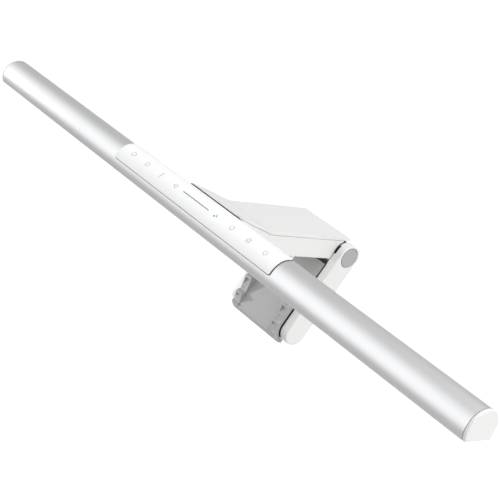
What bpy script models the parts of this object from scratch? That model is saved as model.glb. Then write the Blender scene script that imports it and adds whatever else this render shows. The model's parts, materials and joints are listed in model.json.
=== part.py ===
"""Monitor light bar: a tilting LED bar on an arm that hooks over a monitor, with a sprung leg behind it.

Frame: the origin is the middle of the rest pad's underside, where the arm sits on the monitor's top edge.
+X runs along the bar, +Y to the back and +Z up. Every size below is in millimetres; the helpers make metres.
"""

import math

import bmesh
import bpy
from mathutils import Matrix, Vector

MM = 0.001
GAP = 0.3  # clearance between pieces that touch

# The bar, in its own frame: the origin is on the tilt axis.
BAR_Y, BAR_Z = -82.0, 13.6  # the tilt axis, parallel to X
BAR_LENGTH = 498.0
BAR_R = 11.85
BAR_WALL = 1.5
BAR_FLAT = 6.4  # the bottom flat's distance below the axis
BAR_BACK = 11.1  # the back flat's distance behind the axis
CAP_RIM = 2.2  # what shows of an end cap
PANEL_HALF = 85.7
PANEL_R = 12.55
PANEL_THICK = 2.0
PANEL_FROM, PANEL_TO = 70.0, 172.0  # degrees from +Y, over the top, to the front
LED_WINDOW_HALF = 236.0

# The arm.
ARM_HALF = 24.4
ARM_TOP = 16.45
ARM_UNDER = 0.7
COVER_THICK = 2.0
SHELL_WALL = 1.8
SADDLE_R = 13.3  # the round cut that clears the bar and its panel
REST_PAD = (40.0, 25.0)

# The leg, in its own frame: the origin is on the fold axis and Z runs along the leg.
HINGE_Y, HINGE_Z = 29.6, 5.0
LEG_LEAN = -20.4  # degrees: the leg's foot leans towards the monitor's back
LEG_R = 8.8
LEG_DROP = 62.2  # between the centres of the leg's round ends
LEG_HALF = 31.5
LEG_INNER = 24.9
BARREL_R = 8.0
BARREL_HALF = 26.2
PIN_R = 2.5
HINGE_CAP_R = 7.0
CUT_R = LEG_R + 0.1  # the round end of the arm that faces the leg


def clear_scene():
    for obj in list(bpy.data.objects):
        bpy.data.objects.remove(obj, do_unlink=True)


def new_collection(name):
    made = bpy.data.collections.new(name)
    bpy.context.scene.collection.children.link(made)
    return made


clear_scene()
PARTS = new_collection("monitor_light_bar")
CUTTERS = new_collection("cutters")


def material(name, colour, roughness, metallic=0.0):
    made = bpy.data.materials.new(name)
    made.use_nodes = True
    shader = made.node_tree.nodes["Principled BSDF"]
    shader.inputs["Base Color"].default_value = (*colour, 1.0)
    shader.inputs["Roughness"].default_value = roughness
    shader.inputs["Metallic"].default_value = metallic
    return made


WHITE = material("white_plastic", (0.86, 0.86, 0.85), 0.42)
GREY_CAP = material("grey_cap", (0.42, 0.43, 0.43), 0.5)
BLACK = material("black_plastic", (0.02, 0.02, 0.022), 0.55)
ALUMINIUM = material("satin_aluminium", (0.78, 0.79, 0.8), 0.33, 1.0)
STEEL = material("steel", (0.56, 0.57, 0.58), 0.35, 1.0)
SILICONE = material("grey_silicone", (0.55, 0.55, 0.54), 0.7)
DIFFUSER = material("opal_diffuser", (0.93, 0.93, 0.9), 0.5)
BOARD = material("circuit_board", (0.03, 0.16, 0.08), 0.5)


def empty(name, place, lean=0.0):
    made = bpy.data.objects.new(name, None)
    made.location = Vector(place) * MM
    made.rotation_euler = (math.radians(lean), 0.0, 0.0)
    PARTS.objects.link(made)
    return made


BAR_AXIS = empty("bar_tilt_axis", (0.0, BAR_Y, BAR_Z))
LEG_AXIS = empty("leg_fold_axis", (0.0, HINGE_Y, HINGE_Z), LEG_LEAN)


def mesh_object(name, mesh, look=None, parent=None):
    """A mesh becomes a part, or a cutter when it has no material."""
    made = bpy.data.objects.new(name, mesh)
    made.parent = parent
    if look is None:
        CUTTERS.objects.link(made)
        made.hide_render = True
        made.display_type = "WIRE"
    else:
        PARTS.objects.link(made)
        mesh.materials.append(look)
    return made


def smooth(obj, degrees=30.0):
    obj.data.shade_smooth()
    obj.data.set_sharp_from_angle(angle=math.radians(degrees))
    return obj


def arc(centre, radius, start, end, steps):
    """Points on a circle from one angle to another, in degrees from the outline's first axis."""
    turns = [math.radians(start + (end - start) * i / steps) for i in range(steps + 1)]
    return [(centre[0] + radius * math.cos(a), centre[1] + radius * math.sin(a)) for a in turns]


def rounded(corners, steps=5):
    """An outline from (a, b, radius) corners, each rounded with an arc that meets both of its sides."""
    points = []
    for i, (a, b, radius) in enumerate(corners):
        here = Vector((a, b))
        if radius == 0.0:
            points.append((a, b))
            continue
        before = (Vector(corners[i - 1][:2]) - here).normalized()
        after = (Vector(corners[(i + 1) % len(corners)][:2]) - here).normalized()
        half = before.angle(after) / 2
        centre = here + (before + after).normalized() * radius / math.sin(half)
        first = here + before * radius / math.tan(half) - centre
        last = here + after * radius / math.tan(half) - centre
        turn = first.angle_signed(last)
        for k in range(steps + 1):
            points.append(tuple(centre + Matrix.Rotation(-turn * k / steps, 2) @ first))
    return points


def sharp(points):
    """Corners with no rounding, for an outline that mixes arcs and rounded corners."""
    return [(a, b, 0.0) for a, b in points]


def flat_outline(name, outlines, thickness):
    """A closed mesh of flat outlines, extruded about their plane. Later outlines are holes."""
    curve = bpy.data.curves.new(name, "CURVE")
    curve.dimensions = "2D"
    curve.fill_mode = "BOTH"
    curve.extrude = thickness * MM / 2
    for outline in outlines:
        spline = curve.splines.new("POLY")
        spline.points.add(len(outline) - 1)
        for point, (a, b) in zip(spline.points, outline):
            point.co = (a * MM, b * MM, 0.0, 1.0)
        spline.use_cyclic_u = True
    guide = bpy.data.objects.new(name, curve)
    CUTTERS.objects.link(guide)
    graph = bpy.context.evaluated_depsgraph_get()
    mesh = bpy.data.meshes.new_from_object(guide.evaluated_get(graph))
    bpy.data.objects.remove(guide)
    shape = bmesh.new()
    shape.from_mesh(mesh)
    bmesh.ops.remove_doubles(shape, verts=shape.verts, dist=0.002 * MM)
    bmesh.ops.recalc_face_normals(shape, faces=shape.faces)
    shape.to_mesh(mesh)
    shape.free()
    mesh.materials.clear()
    return mesh


# An outline's plane becomes Y and Z, and its thickness runs along X.
ALONG_X = Matrix(((0, 0, 1, 0), (1, 0, 0, 0), (0, 1, 0, 0), (0, 0, 0, 1)))


def prism_x(name, outline, x_from, x_to, look=None, parent=None, holes=()):
    """A (y, z) outline extruded along X."""
    mesh = flat_outline(name, [outline, *holes], x_to - x_from)
    mesh.transform(Matrix.Translation(((x_from + x_to) / 2 * MM, 0, 0)) @ ALONG_X)
    return smooth(mesh_object(name, mesh, look, parent))


def prism_z(name, outline, z_from, z_to, look=None, parent=None):
    """An (x, y) outline extruded along Z."""
    mesh = flat_outline(name, [outline], z_to - z_from)
    mesh.transform(Matrix.Translation((0, 0, (z_from + z_to) / 2 * MM)))
    return smooth(mesh_object(name, mesh, look, parent))


def box(name, low, high, look=None, parent=None, bevel=0.0):
    shape = bmesh.new()
    bmesh.ops.create_cube(shape, size=1.0)
    size = [(b - a) * MM for a, b in zip(low, high)]
    middle = [(a + b) / 2 * MM for a, b in zip(low, high)]
    place = Matrix.Translation(middle) @ Matrix.Diagonal((*size, 1.0))
    bmesh.ops.transform(shape, matrix=place, verts=shape.verts)
    mesh = bpy.data.meshes.new(name)
    shape.to_mesh(mesh)
    shape.free()
    made = mesh_object(name, mesh, look, parent)
    if bevel:
        edge = made.modifiers.new("edges", "BEVEL")
        edge.width = bevel * MM
        edge.segments = 2
    return made


def turned_x(name, profile, look=None, parent=None, place=(0.0, 0.0), steps=24):
    """A ring or a disc about an X line: the (x, radius) profile is closed, or starts and ends on the line."""
    shape = bmesh.new()
    points = [shape.verts.new((x * MM, (place[0] + r) * MM, place[1] * MM)) for x, r in profile]
    pairs = list(zip(points, points[1:]))
    if profile[0][1] > 0.0:
        pairs.append((points[-1], points[0]))
    for pair in pairs:
        shape.edges.new(pair)
    centre = Vector((0, place[0] * MM, place[1] * MM))
    bmesh.ops.spin(shape, geom=shape.verts[:] + shape.edges[:], cent=centre, axis=(1, 0, 0),
                   angle=math.tau, steps=steps, use_duplicate=False)
    bmesh.ops.remove_doubles(shape, verts=shape.verts, dist=0.002 * MM)
    bmesh.ops.recalc_face_normals(shape, faces=shape.faces)
    mesh = bpy.data.meshes.new(name)
    shape.to_mesh(mesh)
    shape.free()
    return smooth(mesh_object(name, mesh, look, parent))


def rod_x(name, radius, x_from, x_to, look=None, parent=None, place=(0.0, 0.0), steps=24):
    profile = [(x_from, 0.0), (x_from, radius), (x_to, radius), (x_to, 0.0)]
    return turned_x(name, profile, look, parent, place, steps)


def tube_x(name, inner, outer, x_from, x_to, look=None, parent=None, place=(0.0, 0.0), steps=24):
    profile = [(x_from, inner), (x_from, outer), (x_to, outer), (x_to, inner)]
    return turned_x(name, profile, look, parent, place, steps)


def combine(obj, other, operation):
    step = obj.modifiers.new(other.name, "BOOLEAN")
    step.operation = operation
    step.object = other
    step.solver = "EXACT"


def cut(obj, *others):
    for other in others:
        combine(obj, other, "DIFFERENCE")
    return obj


def join(obj, *others):
    for other in others:
        combine(obj, other, "UNION")
    return obj


def keep_inside(obj, other):
    combine(obj, other, "INTERSECT")
    return obj


def bar_section(inset, steps=44):
    """The bar's D outline, moved in by the inset: a circle with a flat below and a flat behind."""
    radius, low, back = BAR_R - inset, inset - BAR_FLAT, BAR_BACK - inset
    front = 180.0 - math.degrees(math.asin(low / radius))
    rear = math.degrees(math.acos(back / radius))
    corner = 1.2
    return arc((0, 0), radius, front, rear, steps) + arc((back - corner, low + corner), corner, 0, -90, 4)


def sector(inner, outer, start, end, steps=26):
    return arc((0, 0), outer, start, end, steps) + arc((0, 0), inner, end, start, steps)


def screw(name, place, direction, length, look=STEEL, parent=None):
    """A cap screw with a hex socket. The place is the top of its head, which faces away."""
    head_r, head_h, shank_r, socket_r, socket_h = 2.3, 1.3, 1.2, 0.9, 0.8
    top = [(0.0, 0.0), (0.0, head_r), (-head_h, head_r), (-head_h, shank_r), (-length, shank_r),
           (-length, 0.0)]
    made = turned_x(name, top, look, parent, steps=12)
    socket = rod_x(name + "_socket", socket_r, -socket_h, 1.0, parent=parent, steps=6)
    cut(made, socket)
    turn = Vector((1, 0, 0)).rotation_difference(Vector(direction)).to_matrix().to_4x4()
    for obj in (made, socket):
        obj.data.transform(Matrix.Translation(Vector(place) * MM) @ turn)
    return made


def make_bar():
    """The tilting bar: tube, caps, touch panel, light windows, boards and the friction hinges inside."""
    inside_end = BAR_LENGTH / 2 - CAP_RIM
    tube = prism_x("bar_tube", bar_section(0), -inside_end, inside_end, ALUMINIUM, BAR_AXIS,
                   holes=[bar_section(BAR_WALL)])
    opening = prism_x("panel_opening", sector(7.4, 20.0, PANEL_FROM - 1.5, PANEL_TO + 1.5),
                      -PANEL_HALF - GAP, PANEL_HALF + GAP, parent=BAR_AXIS)
    lens_half = 8.6
    window = box("lens_opening", (-LED_WINDOW_HALF - GAP, -lens_half - GAP, -9.0),
                 (LED_WINDOW_HALF + GAP, lens_half + GAP, -4.0), parent=BAR_AXIS)
    neck_slot = box("neck_slot", (-16.0, 8.0, -5.6), (16.0, 14.0, 6.4), parent=BAR_AXIS)
    inlet_hole = box("inlet_hole", (43.2, 8.5, -2.0), (52.8, 14.0, 2.0), parent=BAR_AXIS)
    cut(tube, opening, window, neck_slot, inlet_hole)
    for side, name in ((-1, "left"), (1, "right")):
        low, high = sorted((side * 62.0, side * 232.0))
        slot = box(f"back_lens_opening_{name}", (low - GAP, 9.0, -3.3), (high + GAP, 14.0, 3.3),
                   parent=BAR_AXIS)
        cut(tube, slot)
        box(f"back_lens_{name}", (low, 9.7, -3.0), (high, BAR_BACK, 3.0), DIFFUSER, BAR_AXIS)
        led_strip(f"back_led_strip_{name}", low + 4, high - 4, "back")
        end_cap(f"end_cap_{name}", side, inside_end)
        friction_hinge(name, side)
    box("front_lens", (-LED_WINDOW_HALF, -lens_half, -BAR_FLAT), (LED_WINDOW_HALF, lens_half, -5.0),
        DIFFUSER, BAR_AXIS)
    led_strip("front_led_strip", -230.0, 230.0, "down")
    prism_x("touch_panel", sector(PANEL_R - PANEL_THICK, PANEL_R, PANEL_FROM, PANEL_TO),
            -PANEL_HALF, PANEL_HALF, WHITE, BAR_AXIS)
    touch_board = box("touch_board", (-78.0, -5.6, 7.0), (78.0, 2.4, 8.0), BOARD, BAR_AXIS)
    chip = box("touch_chip", (-40.0, -3.0, 6.0), (-33.0, 1.0, 7.2), parent=BAR_AXIS)
    join(touch_board, chip)
    driver = box("driver_board", (37.5, -4.8, -3.2), (84.0, 8.2, -2.2), BOARD, BAR_AXIS)
    blocks = [box("driver_coil", (60.0, -4.0, -2.4), (67.0, 3.0, 1.4), parent=BAR_AXIS),
              box("driver_chip", (72.0, -3.0, -2.4), (77.0, 2.0, -1.2), parent=BAR_AXIS)]
    join(driver, *blocks)
    inlet = box("usb_c_inlet", (43.5, 3.2, -1.6), (52.5, 11.0, 1.6), STEEL, BAR_AXIS, bevel=1.2)
    mouth = box("inlet_mouth", (44.2, 5.0, -1.1), (51.8, 12.0, 1.1), parent=BAR_AXIS)
    cut(inlet, mouth)


def led_strip(name, x_from, x_to, way):
    """A narrow board with its row of LED packages, made as one body."""
    pitch = 12.0
    if way == "down":
        board = box(name, (x_from, -9.2, -2.4), (x_to, -5.2, -1.4), BOARD, BAR_AXIS)
        low, high = (-1.4, -8.4, -3.1), (1.4, -6.0, -2.0)
    else:
        board = box(name, (x_from, 7.2, -2.2), (x_to, 8.0, 2.2), BOARD, BAR_AXIS)
        low, high = (-1.4, 7.6, -1.2), (1.4, 8.7, 1.2)
    shape = bmesh.new()
    count = int((x_to - x_from - 8.0) // pitch)
    for i in range(count + 1):
        x = (x_from + x_to) / 2 + (i - count / 2) * pitch
        size = [(b - a) * MM for a, b in zip(low, high)]
        middle = [x * MM] + [(a + b) / 2 * MM for a, b in zip(low[1:], high[1:])]
        place = Matrix.Translation(middle) @ Matrix.Diagonal((*size, 1.0))
        bmesh.ops.create_cube(shape, size=1.0, matrix=place)
    mesh = bpy.data.meshes.new(name + "_packages")
    shape.to_mesh(mesh)
    shape.free()
    join(board, mesh_object(name + "_packages", mesh, parent=BAR_AXIS))


def end_cap(name, side, inside_end):
    """A cap with a rim that covers the tube's end and a plug that fits inside it."""
    outer = side * BAR_LENGTH / 2
    rim = sorted((side * (inside_end + GAP), outer))
    plug = sorted((side * (inside_end - 6.0), side * (inside_end + 1.0)))
    cap = prism_x(name, bar_section(0), *rim, WHITE, BAR_AXIS)
    edge = cap.modifiers.new("edges", "BEVEL")
    edge.width = 0.5 * MM
    edge.segments = 2
    edge.angle_limit = math.radians(50)
    join(cap, prism_x(name + "_plug", bar_section(BAR_WALL + GAP), *plug, parent=BAR_AXIS))


def friction_hinge(name, side):
    """The block that grips the tube from inside and the barrel in it that turns stiffly on the tilt shaft."""
    low, high = sorted((side * 18.0, side * 32.0))
    block = prism_x(f"hinge_block_{name}", bar_section(BAR_WALL + GAP), low, high, BLACK, BAR_AXIS)
    top = box(f"block_top_{name}", (low - 1, -14.0, 5.8), (high + 1, 14.0, 14.0), parent=BAR_AXIS)
    shelf = box(f"block_shelf_{name}", (low - 1, -14.0, -4.4), (high + 1, -4.6, 0.0), parent=BAR_AXIS)
    floor = box(f"block_floor_{name}", (low - 1, -14.0, -9.0), (high + 1, 14.0, -4.7), parent=BAR_AXIS)
    bore = rod_x(f"block_bore_{name}", 4.3, low - 1, high + 1, parent=BAR_AXIS)
    cut(block, top, shelf, floor, bore)
    tube_x(f"friction_barrel_{name}", 2.3, 4.0, low, high, STEEL, BAR_AXIS)


def arm_profile(top, under):
    """The arm's side outline, from the saddle along the top to the hinge, and back underneath."""
    axis, hinge = (BAR_Y, BAR_Z), (HINGE_Y, HINGE_Z)
    cut_from = 112.0
    top_corner = (hinge[0] + CUT_R * math.cos(math.radians(cut_from)), top)
    front = sharp(arc(axis, SADDLE_R, -32.0, 56.0, 14))
    upper = [(-61.0, top + 5.85, 25.0), (-40.6, top, 14.0)]
    rear = sharp([top_corner, *arc(hinge, CUT_R, cut_from, 180.0, 8), (hinge[0] - 9.8, under)])
    lip = [(-14.0, under, 0.5), (-18.3, -8.9, 0.6), (-20.0, -8.1, 0.6), (-15.8, under, 0.5)]
    return rounded(front + upper + rear + lip + [(-41.0, under, 6.0)])


def make_arm():
    """The fixed arm: two shells, the spine with its neck and hinge barrel, tilt shaft and rest pad."""
    seam = ARM_TOP - COVER_THICK - GAP
    shell = prism_x("arm_lower_shell", arm_profile(seam, ARM_UNDER), -40.0, 40.0, WHITE)
    side = [(ARM_HALF, 60.0), (ARM_HALF, -46.0), (25.0, -56.0), (26.3, -64.0), (28.1, -71.5), (28.1, -100.0)]
    plan = side + [(-x, y) for x, y in reversed(side)]
    keep_inside(shell, prism_z("arm_plan", plan, -40.0, 60.0))
    inner = ARM_HALF - SHELL_WALL
    saddle = arc((BAR_Y, BAR_Z), SADDLE_R + SHELL_WALL, -22.0, 42.0, 8)
    barrel_wall = arc((HINGE_Y, HINGE_Z), CUT_R + SHELL_WALL, 124.0, 193.5, 6)
    floor = ARM_UNDER + SHELL_WALL
    hollow = prism_x("arm_hollow", saddle + [(-70.0, 40.0), (22.0, 40.0)] + barrel_wall + [(-41.3, floor)],
                     -inner, inner)
    neck = box("shell_neck_slot", (-13.6, -75.0, 10.6), (13.6, -60.0, 16.6))
    foot = box("shell_foot_slot", (-10.6, 10.0, 4.2), (10.6, 24.0, 8.0))
    cut(shell, hollow, neck, foot)

    top = ARM_TOP
    nose = sharp(arc((BAR_Y, BAR_Z), SADDLE_R, 59.0, 66.0, 2))
    upper = [(-61.0, top + 5.85, 25.0), (-40.6, top, 14.0), (31.8, top, 0.9)]
    lower = [(31.8, top - COVER_THICK, 0.3), (-40.6, top - COVER_THICK, 14.0),
             (-61.0, top - COVER_THICK + 5.85, 25.0)]
    prism_x("arm_top_cover", rounded(nose + upper + lower), -ARM_HALF, ARM_HALF, WHITE)

    spine = box("arm_spine", (-10.0, -40.0, floor + GAP), (10.0, 14.0, floor + 1.9), STEEL)
    seat = floor + 1.9 + GAP
    web = 2.0
    lap = math.degrees(math.asin(web / 4.4))
    boss = sharp(arc((BAR_Y, BAR_Z), 4.4, lap, 360.0 - lap, 20))
    neck_line = boss + [(-62.0, BAR_Z - web, 2.0), (-50.0, seat, 2.0), (-28.0, seat, 0.5),
                        (-28.0, seat + 3.0, 0.5), (-48.6, seat + 3.0, 2.0), (-60.6, BAR_Z + web, 2.0)]
    bore = arc((BAR_Y, BAR_Z), 2.0 + GAP, 0, 345, 23)
    bracket = prism_x("neck_bracket", rounded(neck_line, 3), -13.0, 13.0, STEEL, holes=[bore])
    rod_x("tilt_shaft", 2.0, -34.0, 34.0, STEEL, place=(BAR_Y, BAR_Z))

    barrel = tube_x("hinge_barrel", PIN_R + GAP, BARREL_R, -BARREL_HALF, BARREL_HALF, BLACK,
                    place=(HINGE_Y, HINGE_Z), steps=32)
    foot_plate = box("barrel_foot", (-10.0, -4.0, seat), (10.0, HINGE_Y - 6.5, seat + 2.8))
    spring_room = rod_x("spring_room", 5.6, -19.0, 19.0, place=(HINGE_Y, HINGE_Z))
    pin_room = rod_x("pin_room", PIN_R + GAP, -27.0, 27.0, place=(HINGE_Y, HINGE_Z))
    cut(join(barrel, foot_plate), spring_room, pin_room)
    rod_x("hinge_pin", PIN_R, -29.9, 29.9, STEEL, place=(HINGE_Y, HINGE_Z))
    for side, name in ((-1, "left"), (1, "right")):
        torsion_spring(f"torsion_spring_{name}", side)
    for i, y in enumerate((-36.0, 2.0)):
        screw(f"spine_screw_{i + 1}", (0.0, y, seat + (4.3 if i == 0 else 4.1)), (0, 0, 1), 4.6)
    holes = [rod_z("spine_hole_1", 1.5, -36.0, 1.0, 12.0), rod_z("spine_hole_2", 1.5, 2.0, 1.0, 12.0)]
    for part in (spine, bracket):
        cut(part, holes[0])
    for part in (spine, barrel):
        cut(part, holes[1])
    width, depth = REST_PAD
    box("rest_pad", (-width / 2, -depth / 2, 0.0), (width / 2, depth / 2, ARM_UNDER - 0.05), SILICONE)
    bed = (width / 2 + GAP, depth / 2 + GAP)
    cut(shell, box("pad_bed", (-bed[0], -bed[1], -1.0), (*bed, 0.95)))


def rod_z(name, radius, y, z_from, z_to, x=0.0, steps=16):
    made = rod_x(name, radius, z_from, z_to, steps=steps)
    made.data.transform(Matrix.Translation((x * MM, y * MM, 0)) @ Matrix.Rotation(-math.pi / 2, 4, "Y"))
    return made


def torsion_spring(name, side):
    """A coil of round wire about the hinge pin."""
    wire_r, coil_r, turns, start, end = 0.6, 4.2, 6, 2.0, 18.0
    per_turn = 12
    curve = bpy.data.curves.new(name, "CURVE")
    curve.dimensions = "3D"
    curve.bevel_depth = wire_r * MM
    curve.bevel_resolution = 1
    curve.use_fill_caps = True
    spline = curve.splines.new("POLY")
    count = turns * per_turn
    spline.points.add(count)
    for i, point in enumerate(spline.points):
        turn = math.tau * i / per_turn
        x = side * (start + (end - start) * i / count)
        y, z = HINGE_Y + coil_r * math.cos(turn), HINGE_Z + coil_r * math.sin(turn)
        point.co = (x * MM, y * MM, z * MM, 1.0)
    curve.materials.append(STEEL)
    PARTS.objects.link(bpy.data.objects.new(name, curve))


def stadium(radius, drop, steps=16):
    return arc((0, 0), radius, 0, 180, steps) + arc((0, -drop), radius, 180, 360, steps)


def make_leg():
    """The folding leg: a housing with two rails, the weight in it, and the grip pad on its carrier."""
    housing = prism_x("leg_housing", stadium(LEG_R, LEG_DROP), LEG_INNER, LEG_HALF, WHITE, LEG_AXIS)
    wall = 2.0
    back = [(LEG_R, -6.0), *arc((0, -LEG_DROP), LEG_R, 0, -110, 12),
            *arc((0, -LEG_DROP), LEG_R - wall, -110, 0, 10), (LEG_R - wall, -6.0)]
    shroud = sector(BARREL_R + 0.5, BARREL_R + wall, -130.0, -36.0, 12)
    join(housing,
         prism_x("left_rail", stadium(LEG_R, LEG_DROP), -LEG_HALF, -LEG_INNER, parent=LEG_AXIS),
         prism_x("leg_back", back, -LEG_INNER - 0.5, LEG_INNER + 0.5, parent=LEG_AXIS),
         prism_x("barrel_shroud", shroud, -LEG_INNER - 0.5, LEG_INNER + 0.5, parent=LEG_AXIS))
    cut(housing, rod_x("rail_bore", 4.5, -40.0, 40.0, parent=LEG_AXIS))
    for side, name in ((-1, "left"), (1, "right")):
        recess = sorted((side * 28.9, side * 33.0))
        pocket = sorted((side * 24.0, side * (BARREL_HALF + GAP)))
        notch = [(0.0, 0.0), *arc((0, 0), 10.0, 154, 200, 6)]
        cut(housing,
            rod_x(f"cap_recess_{name}", HINGE_CAP_R + 0.25, *recess, parent=LEG_AXIS, steps=36),
            rod_x(f"barrel_pocket_{name}", BARREL_R + 0.25, *pocket, parent=LEG_AXIS, steps=36),
            prism_x(f"barrel_notch_{name}", notch, *pocket, parent=LEG_AXIS))
        cap_ends = sorted((side * 30.3, side * LEG_HALF))
        rod_x(f"hinge_cap_{name}", HINGE_CAP_R, *cap_ends, GREY_CAP, LEG_AXIS, steps=36)
        tube_x(f"hinge_bush_{name}", PIN_R + 0.1, 4.2, *sorted((side * 26.8, side * 28.8)), BLACK, LEG_AXIS)

    carrier_line = [(-6.3, -12.5), (-8.6, -12.5), *arc((0, -LEG_DROP), 8.6, 180, 238, 6),
                    *arc((0, -LEG_DROP), 6.3, 238, 180, 6)]
    carrier = prism_x("pad_carrier", carrier_line, -24.3, 24.3, BLACK, LEG_AXIS)
    weight = box("counterweight", (-21.0, -3.8, -59.0), (21.0, 5.6, -17.0), STEEL, LEG_AXIS, bevel=0.8)
    for i, (x, z) in enumerate(((-14.0, -26.0), (14.0, -26.0), (-14.0, -52.0), (14.0, -52.0))):
        screw(f"carrier_screw_{i + 1}", (x, -8.55, z), (0, -1, 0), 8.0, parent=LEG_AXIS)
        head = rod_y(f"screw_head_room_{i + 1}", 2.7, -10.0, -6.9, x, z)
        shank = rod_y(f"screw_hole_{i + 1}", 1.5, -10.0, 1.0, x, z)
        cut(carrier, head, shank)
        cut(weight, shank)
    make_grip_pad()


def rod_y(name, radius, y_from, y_to, x, z, steps=16):
    made = rod_x(name, radius, y_from, y_to, parent=LEG_AXIS, steps=steps)
    made.data.transform(Matrix.Translation((x * MM, 0, z * MM)) @ Matrix.Rotation(math.pi / 2, 4, "Z"))
    return made


def make_grip_pad():
    """The soft pad that presses on the monitor's back: toothed rims, a shallow channel and a thin top."""
    half, rim, floor, top = 24.2, 7.0, -10.4, -23.0
    teeth = [(-12.6, top, 0.0), (-15.0, -36.4, 0.8), (-11.9, -47.2, 0.8), (-14.9, -49.8, 0.8),
             (-11.5, -60.2, 0.8), (-14.0, -63.0, 0.8), (-10.5, -68.6, 1.5)]
    foot = sharp(arc((-2.8, -LEG_DROP), 12.0, 222, 288, 8))
    inner = sharp([*arc((0, -LEG_DROP), LEG_R + 0.4, 275, 180, 12), (-LEG_R - 0.4, top)])
    pad = prism_x("grip_pad", rounded(teeth + foot + inner, 3), -half, half, SILICONE, LEG_AXIS)
    join(pad, box("pad_top", (-half, -9.6, top - 5.0), (half, -8.9, -12.5), parent=LEG_AXIS))
    cut(pad, box("pad_channel", (rim - half, -20.0, -90.0), (half - rim, floor, 0.0), parent=LEG_AXIS))


make_bar()
make_arm()
make_leg()
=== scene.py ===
"""Monitor light bar: its visible pieces and finishes, and the floor, lights and camera around them.

The frame is the part's: +X along the bar, +Y to the back, +Z up, and the origin under the rest pad.
Outlines and sizes are in millimetres, and the mesh helpers scale them to metres.
"""

import json
import math

import bmesh
import bpy
from mathutils import Matrix, Vector


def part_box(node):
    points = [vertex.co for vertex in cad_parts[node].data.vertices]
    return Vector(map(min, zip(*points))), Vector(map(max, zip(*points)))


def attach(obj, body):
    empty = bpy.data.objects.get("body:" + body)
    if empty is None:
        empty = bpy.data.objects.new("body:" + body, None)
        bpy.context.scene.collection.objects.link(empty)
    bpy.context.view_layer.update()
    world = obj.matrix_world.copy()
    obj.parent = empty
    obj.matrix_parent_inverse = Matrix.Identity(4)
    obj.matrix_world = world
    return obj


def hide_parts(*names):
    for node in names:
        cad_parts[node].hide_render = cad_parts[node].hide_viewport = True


MM = 0.001

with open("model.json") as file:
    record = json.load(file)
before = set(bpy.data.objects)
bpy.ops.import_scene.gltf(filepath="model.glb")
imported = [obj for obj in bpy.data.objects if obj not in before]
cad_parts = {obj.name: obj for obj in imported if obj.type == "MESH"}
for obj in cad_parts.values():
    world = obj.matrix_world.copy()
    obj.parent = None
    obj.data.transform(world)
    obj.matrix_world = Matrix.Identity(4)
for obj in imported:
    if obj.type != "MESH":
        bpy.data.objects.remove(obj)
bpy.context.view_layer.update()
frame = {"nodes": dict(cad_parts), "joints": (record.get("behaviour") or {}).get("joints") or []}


# ---------------------------------------------------------------- sizes, in millimetres

def joint_place(name):
    found = next(joint for joint in frame["joints"] if joint["name"] == name)
    return Vector(found["pos_m"]) / MM


def low(node):
    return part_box(node)[0] / MM


def high(node):
    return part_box(node)[1] / MM


TILT = joint_place("bar_tilt")
FOLD = joint_place("leg_fold")
LEG_LEAN = math.radians(-20.4)
BAR_PLACE = Matrix.Translation(TILT)
LEG_PLACE = Matrix.Translation(FOLD) @ Matrix.Rotation(LEG_LEAN, 4, "X")
ARM_PLACE = Matrix.Identity(4)
HINGE_PLACE = Matrix.Translation(FOLD)
TILT_YZ, FOLD_YZ = (TILT.y, TILT.z), (FOLD.y, FOLD.z)

BAR_END = high("end_cap_right").x
TUBE_END = high("bar_tube").x
BAR_R = high("bar_tube").z - TILT.z
BAR_FLAT = TILT.z - low("bar_tube").z
BAR_BACK = high("bar_tube").y - TILT.y
BAR_WALL = 1.5
BAR_CORNER = 1.2
GAP = 0.3
SEAM = 0.58  # the dark groove round the touch panel
PANEL_END = high("touch_panel").x
PANEL_R = high("touch_panel").z - TILT.z
PANEL_THICK = 2.0
PANEL_FROM, PANEL_TO = 70.0, 172.0
WINDOW_END = high("front_lens").x
WINDOW_HALF = high("front_lens").y - TILT.y
LENS_TOP = high("front_lens").z - TILT.z
BACK_LENS = (low("back_lens_right").x, high("back_lens_right").x)
BACK_LENS_HALF = high("back_lens_right").z - TILT.z
BACK_LENS_FROM = 9.7
INLET = (low("usb_c_inlet").x, high("usb_c_inlet").x)
INLET_HALF = high("usb_c_inlet").z - TILT.z

ARM_HALF = high("arm_top_cover").x
ARM_TOP = 16.45
ARM_UNDER = 0.7
COVER_THICK = 2.0
SHELL_WALL = 1.8
SADDLE_R = 13.3
LEG_HALF = 31.5
LEG_INNER = 24.9
LEG_R = 8.8
LEG_DROP = 62.2
HINGE_CAP_R = 7.0
HINGE_CAP_FROM = 30.3
RECESS_FROM = 28.9
BARREL_R = 8.0
BARREL_BORE = 2.8
BARREL_HALF = 26.2
SPRING_ROOM_R = 5.6
CUT_R = LEG_R + 0.1
PAD_HALF = high("grip_pad").x


# ---------------------------------------------------------------- outlines

def arc(centre, radius, start, end, steps):
    """Points on a circle from one angle to another, in degrees."""
    turns = [math.radians(start + (end - start) * i / steps) for i in range(steps + 1)]
    return [(centre[0] + radius * math.cos(t), centre[1] + radius * math.sin(t)) for t in turns]


def circle(centre, radius, steps=24):
    return arc(centre, radius, 0, 360 - 360 / steps, steps - 1)


def sharp(points):
    return [(a, b, 0.0) for a, b in points]


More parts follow.
